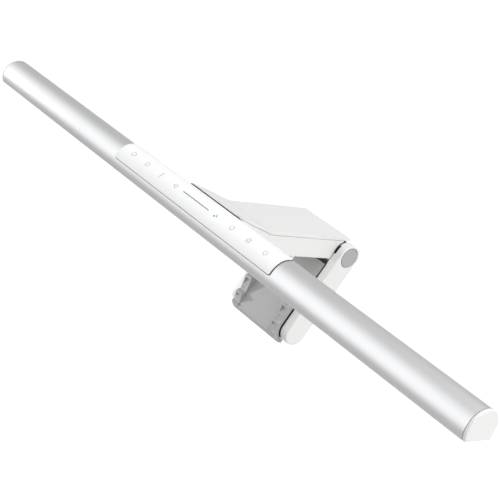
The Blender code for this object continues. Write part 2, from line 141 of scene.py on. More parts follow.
def rounded(corners, steps=8):
    """An outline from (a, b, radius) corners, each rounded with an arc that meets both of its sides."""
    points = []
    for i, (a, b, radius) in enumerate(corners):
        here = Vector((a, b))
        if radius == 0.0:
            points.append((a, b))
            continue
        before = (Vector(corners[i - 1][:2]) - here).normalized()
        after = (Vector(corners[(i + 1) % len(corners)][:2]) - here).normalized()
        half = before.angle(after) / 2
        centre = here + (before + after).normalized() * radius / math.sin(half)
        first = here + before * radius / math.tan(half) - centre
        last = here + after * radius / math.tan(half) - centre
        turn = first.angle_signed(last)
        for k in range(steps + 1):
            points.append(tuple(centre + Matrix.Rotation(-turn * k / steps, 2) @ first))
    return points


def rectangle(a_from, a_to, b_from, b_to, radius=0.0, steps=5):
    corners = [(a_from, b_from), (a_to, b_from), (a_to, b_to), (a_from, b_to)]
    return rounded([(a, b, radius) for a, b in corners], steps)


def inset_outline(points, inset):
    """The closed outline moved inwards, corner by corner."""
    points = [Vector(p) for p in points]
    area = sum(a.x * b.y - b.x * a.y for a, b in zip(points, points[1:] + points[:1]))
    side = 1.0 if area > 0 else -1.0
    moved = []
    for i, here in enumerate(points):
        before = (here - points[i - 1]).normalized()
        after = (points[(i + 1) % len(points)] - here).normalized()
        first = Vector((-before.y, before.x)) * side
        second = Vector((-after.y, after.x)) * side
        middle = (first + second).normalized()
        moved.append(here + middle * (inset / max(middle.dot(first), 0.5)))
    return moved


def on_side(side, near, far):
    """The x range from near to far on the side, with its lower end first."""
    return sorted((side * near, side * far))


# ---------------------------------------------------------------- meshes

def merge(shape):
    bmesh.ops.remove_doubles(shape, verts=shape.verts, dist=0.002)
    bmesh.ops.recalc_face_normals(shape, faces=shape.faces)


def bisect(shape, y, distance):
    """New edges where the plane at y crosses the shape."""
    bmesh.ops.bisect_plane(shape, geom=shape.verts[:] + shape.edges[:] + shape.faces[:], dist=distance,
                           plane_co=(0, y, 0), plane_no=(0, 1, 0))


def shade(mesh):
    mesh.shade_smooth()
    mesh.set_sharp_from_angle(angle=math.radians(32.0))


def link(name, data):
    made = bpy.data.objects.new(name, data)
    bpy.context.scene.collection.objects.link(made)
    return made


def new_object(name, shape, place=ARM_PLACE):
    """The millimetre bmesh becomes a smooth-shaded object in metres."""
    mesh = bpy.data.meshes.new(name)
    shape.to_mesh(mesh)
    shape.free()
    mesh.transform(Matrix.Scale(MM, 4) @ place)
    shade(mesh)
    return link(name, mesh)


def weigh_normals(obj):
    step = obj.modifiers.new("normals", "WEIGHTED_NORMAL")
    step.keep_sharp = True
    step.weight = 90
    return obj


def loft(rings, ends=True):
    """A bmesh skinned through rings of equally many points. The end rings are filled."""
    shape = bmesh.new()
    rows = [[shape.verts.new(p) for p in ring] for ring in rings]
    count = len(rows[0])
    for lower, upper in zip(rows, rows[1:]):
        for i in range(count):
            j = (i + 1) % count
            shape.faces.new((lower[i], lower[j], upper[j], upper[i]))
    if ends:
        shape.faces.new(rows[0])
        shape.faces.new(rows[-1])
    bmesh.ops.recalc_face_normals(shape, faces=shape.faces)
    return shape


def prism(outline, x_from, x_to, fillet_from=0.0, fillet_to=0.0, steps=4):
    """A (y, z) outline, or a function that gives it at an inset, along X with rounded edges at both ends."""
    inset_by = outline if callable(outline) else lambda inset: inset_outline(outline, inset)
    rings = []
    for end, way, fillet in ((x_from, 1, fillet_from), (x_to, -1, fillet_to)):
        turns = [math.pi / 2 * k / steps for k in range(steps + 1)] if fillet else [math.pi / 2]
        side = [(end + way * fillet * (1 - math.cos(t)), fillet * (1 - math.sin(t))) for t in turns]
        rings += side if way > 0 else side[::-1]
    return loft([[(x, p[0], p[1]) for p in inset_by(inset)] for x, inset in rings])


def prism_along(outline, low_end, high_end, fillet=0.0, axis="Z", steps=3):
    """An outline swept along Z or Y, with rounded edges at both ends."""
    shape = prism(outline, low_end, high_end, fillet, fillet, steps)
    turn = {"Z": Matrix(((0, 1, 0, 0), (0, 0, 1, 0), (1, 0, 0, 0), (0, 0, 0, 1))),
            "Y": Matrix(((0, 1, 0, 0), (1, 0, 0, 0), (0, 0, 1, 0), (0, 0, 0, 1)))}[axis]
    bmesh.ops.transform(shape, matrix=turn, verts=shape.verts)
    bmesh.ops.recalc_face_normals(shape, faces=shape.faces)
    return shape


def turned(profile, steps=64):
    """A profile of (x, radius) points turned about X."""
    rings = [[(x, r * math.cos(math.tau * i / steps), r * math.sin(math.tau * i / steps))
              for i in range(steps)] for x, r in profile]
    closed_profile = profile[0] == profile[-1]
    shape = loft(rings, ends=not closed_profile)
    if closed_profile:
        merge(shape)
    return shape


def gather(shapes):
    """Several bmeshes in one."""
    whole = bmesh.new()
    for shape in shapes:
        mesh = bpy.data.meshes.new("gathered")
        shape.to_mesh(mesh)
        shape.free()
        whole.from_mesh(mesh)
        bpy.data.meshes.remove(mesh)
    return whole


def boolean(obj, operation, *shapes, place=ARM_PLACE):
    """Applies a Boolean with each bmesh, which is placed like the object."""
    for shape in shapes:
        other = new_object("tool", shape, place)
        step = obj.modifiers.new("step", "BOOLEAN")
        step.operation = operation
        step.object = other
        step.solver = "EXACT"
        graph = bpy.context.evaluated_depsgraph_get()
        mesh = bpy.data.meshes.new_from_object(obj.evaluated_get(graph))
        obj.modifiers.clear()
        old, obj.data = obj.data, mesh
        mesh.name = obj.name
        bpy.data.meshes.remove(old)
        bpy.data.objects.remove(other)
    shade(obj.data)
    return obj


def flat_mesh(outlines):
    """A flat triangle mesh inside the first outline and outside the others."""
    curve = bpy.data.curves.new("flat", "CURVE")
    curve.dimensions = "2D"
    curve.fill_mode = "BOTH"
    for outline in outlines:
        spline = curve.splines.new("POLY")
        spline.points.add(len(outline) - 1)
        for point, (a, b) in zip(spline.points, outline):
            point.co = (a, b, 0.0, 1.0)
        spline.use_cyclic_u = True
    guide = link("flat", curve)
    graph = bpy.context.evaluated_depsgraph_get()
    mesh = bpy.data.meshes.new_from_object(guide.evaluated_get(graph))
    bpy.data.objects.remove(guide)
    return mesh


def wrapped(outlines, outer, inner, turns, rim):
    """A curved plate: flat (x, degrees) outlines wrapped round X, with a thickness and rounded rims.

    outer and inner give the radius at an angle, and turns are the angles where the surface bends.
    """
    per_degree = math.radians(1.0) * BAR_R
    mesh = flat_mesh([[(x, turn * per_degree) for x, turn in outline] for outline in outlines])
    shape = bmesh.new()
    shape.from_mesh(mesh)
    bpy.data.meshes.remove(mesh)
    bmesh.ops.remove_doubles(shape, verts=shape.verts, dist=0.001)
    for turn in turns:
        bisect(shape, turn * per_degree, 0.0005)
    flat = {vert: (vert.co.x, vert.co.y / per_degree) for vert in shape.verts}

    def point(vert, radius):
        x, turn = flat[vert]
        reach, angle = radius(turn), math.radians(turn)
        return Vector((x, reach * math.cos(angle), reach * math.sin(angle)))

    for vert in shape.verts:
        vert.co = point(vert, outer)
    inside = {vert: shape.verts.new(point(vert, inner)) for vert in list(shape.verts)}
    for face in list(shape.faces):
        shape.faces.new([inside[vert] for vert in reversed(face.verts)])
    for edge in [e for e in shape.edges if len(e.link_faces) == 1 and e.verts[0] in inside]:
        a, b = edge.verts
        shape.faces.new((a, b, inside[b], inside[a]))
    merge(shape)
    if rim:
        edges = [e for e in shape.edges if len(e.link_faces) == 2 and e.calc_face_angle() > math.radians(50)]
        bmesh.ops.bevel(shape, geom=edges, offset=rim, segments=2, profile=0.5, affect="EDGES",
                        clamp_overlap=True)
        bmesh.ops.recalc_face_normals(shape, faces=shape.faces)
    return shape


# ---------------------------------------------------------------- the bar's pieces

JOIN_TURN = 60.0  # where the bar's outline starts and ends, behind the touch panel
NECK_SLOT = (-16.0, 16.0, -30.5, 38.5)  # the arm's way into the tube: x, then degrees


def bar_reach(inset):
    """The radius of the bar's D section at an angle in degrees, with the section moved in by the inset."""
    def reach(turn):
        c, s = math.cos(math.radians(turn)), math.sin(math.radians(turn))
        found = BAR_R - inset
        if c > 0:
            found = min(found, (BAR_BACK - inset) / c)
        if s < 0:
            found = min(found, (BAR_FLAT - inset) / -s)
        centre = (BAR_BACK - BAR_CORNER, BAR_CORNER - BAR_FLAT)
        corner = max(BAR_CORNER - inset, 0.0)
        if found * c > centre[0] and found * s < centre[1]:
            along = c * centre[0] + s * centre[1]
            beyond = along * along - centre[0] ** 2 - centre[1] ** 2 + corner * corner
            found = along + math.sqrt(max(beyond, 0.0))
        return found
    return reach


def bar_turns():
    """The angles where the D section bends, over one turn that starts behind the top."""
    rear = math.degrees(math.acos(BAR_BACK / BAR_R))
    front = -180.0 + math.degrees(math.asin(BAR_FLAT / BAR_R))
    corner_from = -math.degrees(math.atan2(BAR_FLAT, BAR_BACK - BAR_CORNER))
    corner_to = -math.degrees(math.atan2(BAR_FLAT - BAR_CORNER, BAR_BACK))
    corner = [corner_from + (corner_to - corner_from) * k / 6 for k in range(7)]
    round_part = [JOIN_TURN - 3.0 * k for k in range(1, 120)]
    return [t for t in round_part if t > rear + 1 or t < front - 1] + [rear, front] + corner


def bar_outline(inset=0.0):
    reach = bar_reach(inset)
    turns = sorted(bar_turns() + [JOIN_TURN])
    return [(reach(t) * math.cos(math.radians(t)), reach(t) * math.sin(math.radians(t))) for t in turns]


def on_flat(x_from, x_to, y_from, y_to, z=None, radius=0.6):
    """An opening in the bottom flat or, without z, in the back flat, as an (x, degrees) outline."""
    points = rectangle(x_from, x_to, y_from, y_to, radius, 3)
    if z is None:
        return [(x, math.degrees(math.atan2(b, BAR_BACK))) for x, b in points]
    return [(x, math.degrees(math.atan2(z, b))) for x, b in points]


def make_tube():
    start = JOIN_TURN - 360.0
    whole = [(-TUBE_END, start), (TUBE_END, start), (TUBE_END, JOIN_TURN), (-TUBE_END, JOIN_TURN)]
    window = (WINDOW_END + GAP, WINDOW_HALF + GAP)
    openings = [panel_outline(SEAM, -360.0),
                on_flat(-window[0], window[0], -window[1], window[1], -BAR_FLAT),
                on_flat(INLET[0] - GAP, INLET[1] + GAP, -INLET_HALF - GAP, INLET_HALF + GAP, radius=1.6),
                rectangle(*NECK_SLOT)]
    for side in (-1, 1):
        ends = on_side(side, BACK_LENS[0] - GAP, BACK_LENS[1] + GAP)
        openings.append(on_flat(*ends, -BACK_LENS_HALF - GAP, BACK_LENS_HALF + GAP))
    shape = wrapped([whole, *openings], bar_reach(0.0), bar_reach(BAR_WALL), bar_turns(), 0.15)
    tube = new_object("tube_skin", shape, BAR_PLACE)
    return piece(weigh_normals(tube), "bar", "satin_aluminium", ALUMINIUM, "bar_tube")


def make_end_caps():
    for side, name in ((-1, "left"), (1, "right")):
        rim = on_side(side, TUBE_END + GAP, BAR_END)
        plug = on_side(side, TUBE_END - 6.0, TUBE_END + 1.0)
        fillets = (0.15, 0.9) if side > 0 else (0.9, 0.15)
        shapes = [prism(bar_outline, *rim, *fillets, steps=6),
                  prism(bar_outline(BAR_WALL + GAP), *plug)]
        cap = new_object(f"end_cap_skin_{name}", gather(shapes), BAR_PLACE)
        piece(weigh_normals(cap), "bar", "white_plastic", WHITE, f"end_cap_{name}")


def panel_outline(grow=0.0, turn=0.0):
    """The touch panel's (x, degrees) outline, moved out by the millimetres: its back corners are rounder."""
    per_degree = math.radians(1.0) * PANEL_R
    rear, front = PANEL_FROM * per_degree, PANEL_TO * per_degree
    rear_r, front_r = 4.5, 1.3
    corners = [(-PANEL_END, rear, rear_r), (PANEL_END, rear, rear_r),
               (PANEL_END, front, front_r), (-PANEL_END, front, front_r)]
    return [(p[0], p[1] / per_degree + turn) for p in inset_outline(rounded(corners), -grow)]


def make_panel():
    outline = panel_outline()
    turns = [PANEL_FROM + 2.0 * k for k in range(1, 51)]
    shape = wrapped([outline], lambda t: PANEL_R, lambda t: PANEL_R - PANEL_THICK, turns, 0.35)
    panel = new_object("panel_skin", shape, BAR_PLACE)
    return piece(weigh_normals(panel), "bar", "panel_white", PANEL, "touch_panel")


def make_lenses():
    pieces = [("front_lens_skin", "front_lens", (-WINDOW_END, WINDOW_END),
               rectangle(-WINDOW_HALF, WINDOW_HALF, -BAR_FLAT, LENS_TOP, 0.15, 3))]
    for side, name in ((-1, "left"), (1, "right")):
        ends = on_side(side, *BACK_LENS)
        outline = rectangle(BACK_LENS_FROM, BAR_BACK, -BACK_LENS_HALF, BACK_LENS_HALF, 0.15, 3)
        pieces.append((f"back_lens_skin_{name}", f"back_lens_{name}", ends, outline))
    for name, node, ends, outline in pieces:
        lens = new_object(name, prism(outline, *ends, 0.15, 0.15, 3), BAR_PLACE)
        piece(weigh_normals(lens), "bar", "opal_diffuser", OPAL, node)


# ---------------------------------------------------------------- the touch panel's printed marks

ICON_TURN = 129.4
ICON_PITCH = 16.7
LIT_X = 21.7
STROKE = 0.32


def ring(radius):
    return [[circle((0, 0), radius + STROKE / 2, 28), circle((0, 0), radius - STROKE / 2, 28)]]


def open_ring(radius, start, end):
    outer = arc((0, 0), radius + STROKE / 2, start, end, 28)
    return [[outer + arc((0, 0), radius - STROKE / 2, end, start, 28)]]


def bar_mark(x_from, y_from, x_to, y_to, width=STROKE):
    """A straight stroke with round ends."""
    along = Vector((x_to - x_from, y_to - y_from))
    angle = math.degrees(math.atan2(along.y, along.x))
    return [[arc((x_to, y_to), width / 2, angle - 90, angle + 90, 6)
             + arc((x_from, y_from), width / 2, angle + 90, angle + 270, 6)]]


def dot(x, y, radius):
    return [[circle((x, y), radius)]]


def stroked(outline):
    """A stroke along the inside of an outline."""
    return [[outline, [tuple(p) for p in inset_outline(outline, STROKE)]]]


def frame_mark(width, height, radius):
    return stroked(rectangle(-width / 2, width / 2, -height / 2, height / 2, radius))


def triangle_mark(size):
    corner = 0.45
    return stroked(rounded([(-0.62 * size, 0.0, corner), (0.45 * size, -0.56 * size, corner),
                            (0.45 * size, 0.56 * size, corner)], 3))


def lamp_mark():
    return stroked(arc((0.3, 0.2), 2.1, 115, 245, 14) + [(2.3, -0.5), (2.3, 0.9)])


def sun_mark():
    rays = []
    for k in range(8):
        c, s = math.cos(math.tau * k / 8), math.sin(math.tau * k / 8)
        rays += bar_mark(1.75 * c, 1.75 * s, 2.3 * c, 2.3 * s, 0.34)
    return ring(1.1) + rays


def moon_mark():
    return open_ring(1.6, 60, 390) + dot(1.45, 1.1, 0.4)


def power_mark():
    return open_ring(1.55, 125, 415) + bar_mark(0.0, 0.7, 0.0, 1.9)


def dots_mark():
    return bar_mark(-0.8, -1.0, -0.2, -0.7, 1.1) + dot(0.5, 0.9, 0.55) + dot(1.5, -0.3, 0.55)


def printed(name, marks, x, material):
    """Marks printed on the panel's skin: outlines with holes, in millimetres about the mark's middle."""
    shapes = []
    per_degree = math.degrees(1.0 / PANEL_R)
    for outlines in marks:
        placed = [[(x + a, ICON_TURN - b * per_degree) for a, b in outline] for outline in outlines]
        turns = [p[1] for p in placed[0]]
        bends = [min(turns) + k for k in range(1, int(max(turns) - min(turns)) + 1)]
        shapes.append(wrapped(placed, lambda t: PANEL_R + 0.02, lambda t: PANEL_R - 0.05, bends, 0.0))
    mark = new_object(name, gather(shapes), BAR_PLACE)
    return piece(mark, "bar", "panel_white", material)


def make_marks():
    marks = [(-4.35, "lamp", lamp_mark()), (-3.35, "frame", frame_mark(3.3, 3.0, 0.7)),
             (-2.34, "line", bar_mark(0.0, -2.2, 0.0, 2.2, 0.5)), (-1.34, "arrow", triangle_mark(3.6)),
             (2.33, "moon", moon_mark()), (3.36, "sun", sun_mark()), (4.36, "power", power_mark())]
    for place, name, outlines in marks:
        printed(f"mark_{name}", outlines, place * ICON_PITCH, PRINT)
    printed("mark_slider", bar_mark(-13.4, 0.0, 14.0, 0.0, 0.62), 0.0, SLIDER)
    printed("mark_mode", dots_mark(), LIT_X, LIT)


# ---------------------------------------------------------------- the arm's pieces

def ramp(top):
    """The corners where the arm's top rises towards the bar."""
    return [(-61.0, top + 5.85, 25.0), (-40.6, top, 14.0)]


def arm_outline(top, under):
    """The arm's side outline, from the saddle along the top to the hinge, and back underneath."""
    cut_from = 112.0
    top_corner = (FOLD.y + CUT_R * math.cos(math.radians(cut_from)), top)
    front = sharp(arc(TILT_YZ, SADDLE_R, -32.0, 56.0, 40))
    rear = sharp([top_corner, *arc(FOLD_YZ, CUT_R, cut_from, 180.0, 20), (FOLD.y - 9.8, under)])
    lip = [(-14.0, under, 0.5), (-18.3, -8.9, 0.6), (-20.0, -8.1, 0.6), (-15.8, under, 0.5)]
    return rounded(front + ramp(top) + rear + lip + [(-41.0, under, 6.0)])


FLARE_FROM, FLARE_TO = -44.0, -72.5
FLARE_WIDTH = 28.2


def flare_at(y):
    """How far the arm's side stands from the middle: it curves out towards the bar."""
    along = min(max((y - FLARE_FROM) / (FLARE_TO - FLARE_FROM), 0.0), 1.0)
    return ARM_HALF + (FLARE_WIDTH - ARM_HALF) * along * along


def make_shell():
    seam = ARM_TOP - COVER_THICK - 0.25
    shape = prism(arm_outline(seam, ARM_UNDER), -ARM_HALF, ARM_HALF, 0.25, 0.25, 3)
    bends = 8
    for i in range(bends):
        bisect(shape, FLARE_FROM + (FLARE_TO - FLARE_FROM) * i / bends, 0.001)
    for vert in shape.verts:
        vert.co.x *= flare_at(vert.co.y) / ARM_HALF
    bmesh.ops.recalc_face_normals(shape, faces=shape.faces)
    shell = new_object("arm_shell_skin", shape)
    inner = ARM_HALF - SHELL_WALL
    floor = ARM_UNDER + SHELL_WALL
    saddle = arc(TILT_YZ, SADDLE_R + SHELL_WALL, -22.0, 42.0, 16)
    barrel_wall = arc(FOLD_YZ, CUT_R + SHELL_WALL, 124.0, 193.5, 12)
    hollow = prism(saddle + [(-70.0, 40.0), (22.0, 40.0)] + barrel_wall + [(-41.3, floor)], -inner, inner)
    neck = prism(rectangle(-75.0, -60.0, 10.6, 16.6), -13.6, 13.6)
    foot = prism(rectangle(10.0, 24.0, 4.2, 8.0), -10.6, 10.6)
    pad_low, pad_high = low("rest_pad"), high("rest_pad")
    bed = prism(rectangle(pad_low.y - GAP, pad_high.y + GAP, -1.0, 0.95), pad_low.x - GAP, pad_high.x + GAP)
    boolean(shell, "DIFFERENCE", hollow, neck, foot, bed)
    return piece(weigh_normals(shell), "arm", "white_plastic", WHITE, "arm_lower_shell")


def make_cover():
    under, end = ARM_TOP - COVER_THICK, 31.8
    nose = sharp(arc(TILT_YZ, SADDLE_R, 59.0, 66.0, 4))
    outline = rounded([*nose, *ramp(ARM_TOP), (end, ARM_TOP, 0.9), (end, under, 0.3), *ramp(under)[::-1]], 10)
    cover = new_object("arm_cover_skin", prism(outline, -ARM_HALF, ARM_HALF, 0.18, 0.18, 3))
    return piece(weigh_normals(cover), "arm", "white_plastic", WHITE, "arm_top_cover")


def make_rest_pad():
    """The silicone pad under the arm, with fine grip ribs across it."""
    lowest, highest = low("rest_pad"), high("rest_pad")
    outline = rectangle(lowest.x, highest.x, lowest.y, highest.y, 2.5)
    plate = prism_along(outline, 0.25, highest.z, 0.1)
    pitch, rib = 2.0, 0.6
    count = int((highest.y - lowest.y - 3.0) / pitch)
    ribs = [plate]
    for i in range(count + 1):
        y = (i - count / 2) * pitch + (highest.y + lowest.y) / 2
        inset = 1.2 if 0 < i < count else 2.4
        outline = rectangle(lowest.x + inset, highest.x - inset, y - rib, y + rib, 0.3)
        ribs.append(prism_along(outline, 0.0, 0.4, 0.15))
    pad = new_object("rest_pad_skin", gather(ribs))
    return piece(weigh_normals(pad), "arm", "grey_silicone", SILICONE, "rest_pad")


def make_neck_shade_sheet():
    """A black sheet in the saddle, between the bar and the arm: painted shade that darkens the gap there."""
    half = FLARE_WIDTH - 1.7
    shade_outline = arc(TILT_YZ, SADDLE_R - 0.05, 10.0, 58.0, 24) + arc(TILT_YZ, SADDLE_R - 0.45, 58.0, 10.0, 24)
    shade_sheet = new_object("neck_shade_sheet", prism(shade_outline, -half, half))
    return piece(shade_sheet, "arm", "black_plastic", BLACK)


def make_barrel():
    """The black hinge barrel that the leg's rails turn on, with its foot inside the arm."""
    edge = 0.25
    outer = [(-BARREL_HALF, BARREL_R - edge), (edge - BARREL_HALF, BARREL_R), (BARREL_HALF - edge, BARREL_R),
             (BARREL_HALF, BARREL_R - edge)]
    profile = [(-BARREL_HALF, BARREL_BORE), *outer, (BARREL_HALF, BARREL_BORE), (-BARREL_HALF, BARREL_BORE)]
    barrel = new_object("hinge_barrel_skin", turned(profile, 96), HINGE_PLACE)
    room = prism(circle((0, 0), SPRING_ROOM_R), -19.0, 19.0)
    seat = ARM_UNDER + SHELL_WALL + 1.9 + GAP - FOLD.z
    foot = prism(rectangle(-FOLD.y - 4.0, -6.5, seat, seat + 2.8), -10.0, 10.0)
    boolean(barrel, "UNION", foot, place=HINGE_PLACE)
    screw_hole = prism_along(circle((0, 2.0 - FOLD.y), 1.5), 1.0 - FOLD.z, 12.0 - FOLD.z)
    boolean(barrel, "DIFFERENCE", room, screw_hole, place=HINGE_PLACE)
    return piece(weigh_normals(barrel), "arm", "black_plastic", BLACK, "hinge_barrel")


# ---------------------------------------------------------------- the leg's pieces

def make_leg():
    line = arc((0, 0), LEG_R, 0, 180, 32) + arc((0, -LEG_DROP), LEG_R, 180, 360, 32)
    housing = new_object("leg_skin", prism(line, LEG_INNER, LEG_HALF, 0.5, 0.7, 5), LEG_PLACE)
    wall, lap = 2.0, LEG_INNER + 1.0
    back = [(LEG_R - 0.02, -6.0), *arc((0, -LEG_DROP), LEG_R - 0.02, 0, -110, 20),
            *arc((0, -LEG_DROP), LEG_R - wall, -110, 0, 20), (LEG_R - wall, -6.0)]
    shroud = [*arc((0, 0), BARREL_R + wall, -130, -36, 24), *arc((0, 0), BARREL_R + 0.5, -36, -130, 24)]
    boolean(housing, "UNION", prism(line, -LEG_HALF, -LEG_INNER, 0.7, 0.5, 5),
            prism(back, -lap, lap), prism(shroud, -lap, lap), place=LEG_PLACE)
    bore = [turned([(-40.0, 4.5), (40.0, 4.5)])]
    recess_r = HINGE_CAP_R + 0.25
    for side in (-1, 1):
        profile = [(RECESS_FROM, recess_r), (LEG_HALF - 0.2, recess_r), (LEG_HALF + 0.5, recess_r + 0.7)]
        bore.append(turned([(side * x, r) for x, r in profile], 96))
        pocket = on_side(side, 24.0, BARREL_HALF + GAP)
        bore.append(turned([(x, BARREL_R + 0.25) for x in pocket], 96))
        bore.append(prism([(0.0, 0.0), *arc((0, 0), 10.0, 154, 200, 16)], *pocket))
    boolean(housing, "DIFFERENCE", *bore, place=LEG_PLACE)
    return piece(weigh_normals(housing), "leg", "white_plastic", WHITE, "leg_housing")


def make_hinge_caps():
    for side, name in ((-1, "left"), (1, "right")):
        edge = 0.3
        turns = [math.pi / 2 * k / 4 for k in range(5)]
        rim = HINGE_CAP_R - 0.1
        bend = [(LEG_HALF - edge * (1 - math.sin(t)), rim - edge * (1 - math.cos(t))) for t in turns]
        profile = [(HINGE_CAP_FROM, rim), *bend]
        cap = new_object(f"hinge_cap_skin_{name}", turned([(side * x, r) for x, r in profile], 96), LEG_PLACE)
        piece(weigh_normals(cap), "leg", "grey_cap", GREY_CAP, f"hinge_cap_{name}")


def pad_outline():
    """The pad's side outline in the leg's frame: toothed in front, round at the foot and flat behind."""
    top = -26.0
    teeth = [(-13.0, top, 0.6), (-15.0, -36.4, 0.8), (-11.9, -47.2, 0.8), (-14.9, -49.8, 0.8),
             (-11.5, -60.2, 0.8), (-14.0, -63.0, 0.8), (-10.5, -68.6, 1.5)]
    foot = sharp(arc((-2.8, -LEG_DROP), 12.0, 222, 288, 16))
    inner = sharp([*arc((0, -LEG_DROP), LEG_R + 0.4, 275, 180, 24), (-LEG_R - 0.4, top)])
    return rounded(teeth + foot + inner, 6)


# Shallow notches in the rims' teeth: y and z of the middle, height and width.
PAD_NOTCHES = [(-14.3, -33.5, 4.6, 4.0), (-13.2, -42.8, 4.6, 4.0), (-13.6, -54.0, 5.0, 4.2),
               (-12.6, -58.6, 1.6, 4.2), (-12.9, -65.0, 2.2, 4.0)]


def make_grip_pad():
    """The soft pad that presses on the monitor's back: toothed rims, a shallow channel and a thin top."""
    floor, rim = -10.4, 7.0
    pad = new_object("grip_pad_skin", prism(pad_outline(), -PAD_HALF, PAD_HALF, 0.45, 0.45), LEG_PLACE)
    thin_top = prism(rectangle(-9.6, -8.9, -30.0, -12.5, 0.2), -PAD_HALF, PAD_HALF)
    boolean(pad, "UNION", thin_top, place=LEG_PLACE)
    channel = prism(rectangle(-20.0, floor, -90.0, 0.0), rim - PAD_HALF, PAD_HALF - rim)
    cuts = [channel]
    for middle in (PAD_HALF - rim / 2, rim / 2 - PAD_HALF):
        for y, z, tall, wide in PAD_NOTCHES:
            cuts.append(prism(rectangle(y - 1.0, y + 0.9, z - tall / 2, z + tall / 2, 0.2), middle - wide / 2,
                              middle + wide / 2))
    boolean(pad, "DIFFERENCE", *cuts, place=LEG_PLACE)
    return piece(weigh_normals(pad), "leg", "grey_silicone", SILICONE, "grip_pad")


def make_carrier():
    """The plate that holds the pad: it shows as a dark line between the pad and the rails."""
    line = [(-6.3, -12.5), (-8.6, -12.5), *arc((0, -LEG_DROP), 8.6, 180, 238, 12),
            *arc((0, -LEG_DROP), 6.3, 238, 180, 12)]
    carrier = new_object("pad_carrier_skin", prism(line, -24.3, 24.3, 0.2, 0.2, 2), LEG_PLACE)
    holes = []
    for x in (-14.0, 14.0):
        for z in (-26.0, -52.0):
            for radius, y_from, y_to in ((2.7, -10.0, -6.9), (1.5, -10.0, 1.0)):
                holes.append(prism_along(circle((x, z), radius), y_from, y_to, axis="Y"))
    boolean(carrier, "DIFFERENCE", *holes, place=LEG_PLACE)
    return piece(weigh_normals(carrier), "leg", "black_plastic", BLACK, "pad_carrier")


def make_panel_seal():
    """The black seal between the touch panel and the tube: it stands a little above the tube."""
    proud, clear = 0.25, 0.04
    outer = panel_outline(SEAM - clear)
    inner = panel_outline(clear)
    shape = wrapped([outer, inner], lambda t: BAR_R + proud, lambda t: BAR_R - BAR_WALL - 0.2,
                    [PANEL_FROM + 2.0 * k for k in range(0, 52)], 0.0)
    seal = new_object("panel_seal", shape, BAR_PLACE)
    return piece(seal, "bar", "black_plastic", BLACK)


# ---------------------------------------------------------------- finishes

WEAR = 0.05  # how far a finish's roughness varies each way


def node_material(name, colour, roughness, metallic=0.0, grain=1800.0, spread=0.02, depth=0.00001,
                  stretch=(1.0, 1.0, 1.0)):
    """A finish with fine grain in its height, its roughness and, faintly, its colour."""
    material = bpy.data.materials.new(name)
    material.use_nodes = True
    tree = material.node_tree
    shader = tree.nodes["Principled BSDF"]
    shader.inputs["Metallic"].default_value = metallic
    coords = tree.nodes.new("ShaderNodeTexCoord")
    mapping = tree.nodes.new("ShaderNodeMapping")
    mapping.inputs["Scale"].default_value = stretch
    tree.links.new(coords.outputs["Object"], mapping.inputs["Vector"])
    fine = noise(tree, mapping, grain, 3.0)
    broad = noise(tree, mapping, grain / 60, 2.0)
    tint = tree.nodes.new("ShaderNodeMix")
    tint.data_type = "RGBA"
    tint.inputs["A"].default_value = (*[c * (1 - spread) for c in colour], 1.0)
    tint.inputs["B"].default_value = (*[min(c * (1 + spread), 1.0) for c in colour], 1.0)
    tree.links.new(broad.outputs["Fac"], tint.inputs["Factor"])
    tree.links.new(tint.outputs["Result"], shader.inputs["Base Color"])
    rough = tree.nodes.new("ShaderNodeMapRange")
    rough.inputs["To Min"].default_value = roughness - WEAR
    rough.inputs["To Max"].default_value = roughness + WEAR
    tree.links.new(fine.outputs["Fac"], rough.inputs["Value"])
    tree.links.new(rough.outputs["Result"], shader.inputs["Roughness"])
    bump = tree.nodes.new("ShaderNodeBump")
    bump.inputs["Distance"].default_value = depth
    tree.links.new(fine.outputs["Fac"], bump.inputs["Height"])
    tree.links.new(bump.outputs["Normal"], shader.inputs["Normal"])
    return material


def noise(tree, mapping, scale, detail):
    node = tree.nodes.new("ShaderNodeTexNoise")
    node.inputs["Scale"].default_value = scale
    node.inputs["Detail"].default_value = detail
    tree.links.new(mapping.outputs["Vector"], node.inputs["Vector"])
    return node


def smooth_step(tree, value, from_min, from_max, to_min, to_max):
    """The socket of a soft change from one level to another while the value runs over its range."""
    step = tree.nodes.new("ShaderNodeMapRange")
    step.interpolation_type = "SMOOTHSTEP"
    levels = {"From Min": from_min, "From Max": from_max, "To Min": to_min, "To Max": to_max}
    for socket, level in levels.items():
        step.inputs[socket].default_value = level
    tree.links.new(value, step.inputs["Value"])
    return step.outputs["Result"]


def panel_material():
    """Satin white with the lit mark's glow around it."""
    material = node_material("touch_panel_satin", (0.93, 0.93, 0.93), 0.35, grain=2600.0, spread=0.006,
                             depth=0.000003)
    tree = material.node_tree
    shader = tree.nodes["Principled BSDF"]
    coords = next(n for n in tree.nodes if n.bl_idname == "ShaderNodeTexCoord")
    distance = tree.nodes.new("ShaderNodeVectorMath")
    distance.operation = "DISTANCE"
    turn = math.radians(ICON_TURN)
    centre = Vector((LIT_X, PANEL_R * math.cos(turn), PANEL_R * math.sin(turn))) + TILT
    distance.inputs[1].default_value = centre * MM
    tree.links.new(coords.outputs["Object"], distance.inputs[0])
    glow = smooth_step(tree, distance.outputs["Value"], 0.0, 5.0 * MM, 0.22, 0.0)
    shader.inputs["Emission Color"].default_value = (0.25, 0.75, 1.0, 1.0)
    tree.links.new(glow, shader.inputs["Emission Strength"])
    return material


def opal_material():
    material = node_material("opal_diffuser", (0.93, 0.93, 0.90), 0.5, grain=1500.0, depth=0.000008)
    shader = material.node_tree.nodes["Principled BSDF"]
    shader.inputs["Subsurface Weight"].default_value = 0.3
    shader.inputs["Subsurface Radius"].default_value = (0.002, 0.002, 0.0018)
    return material


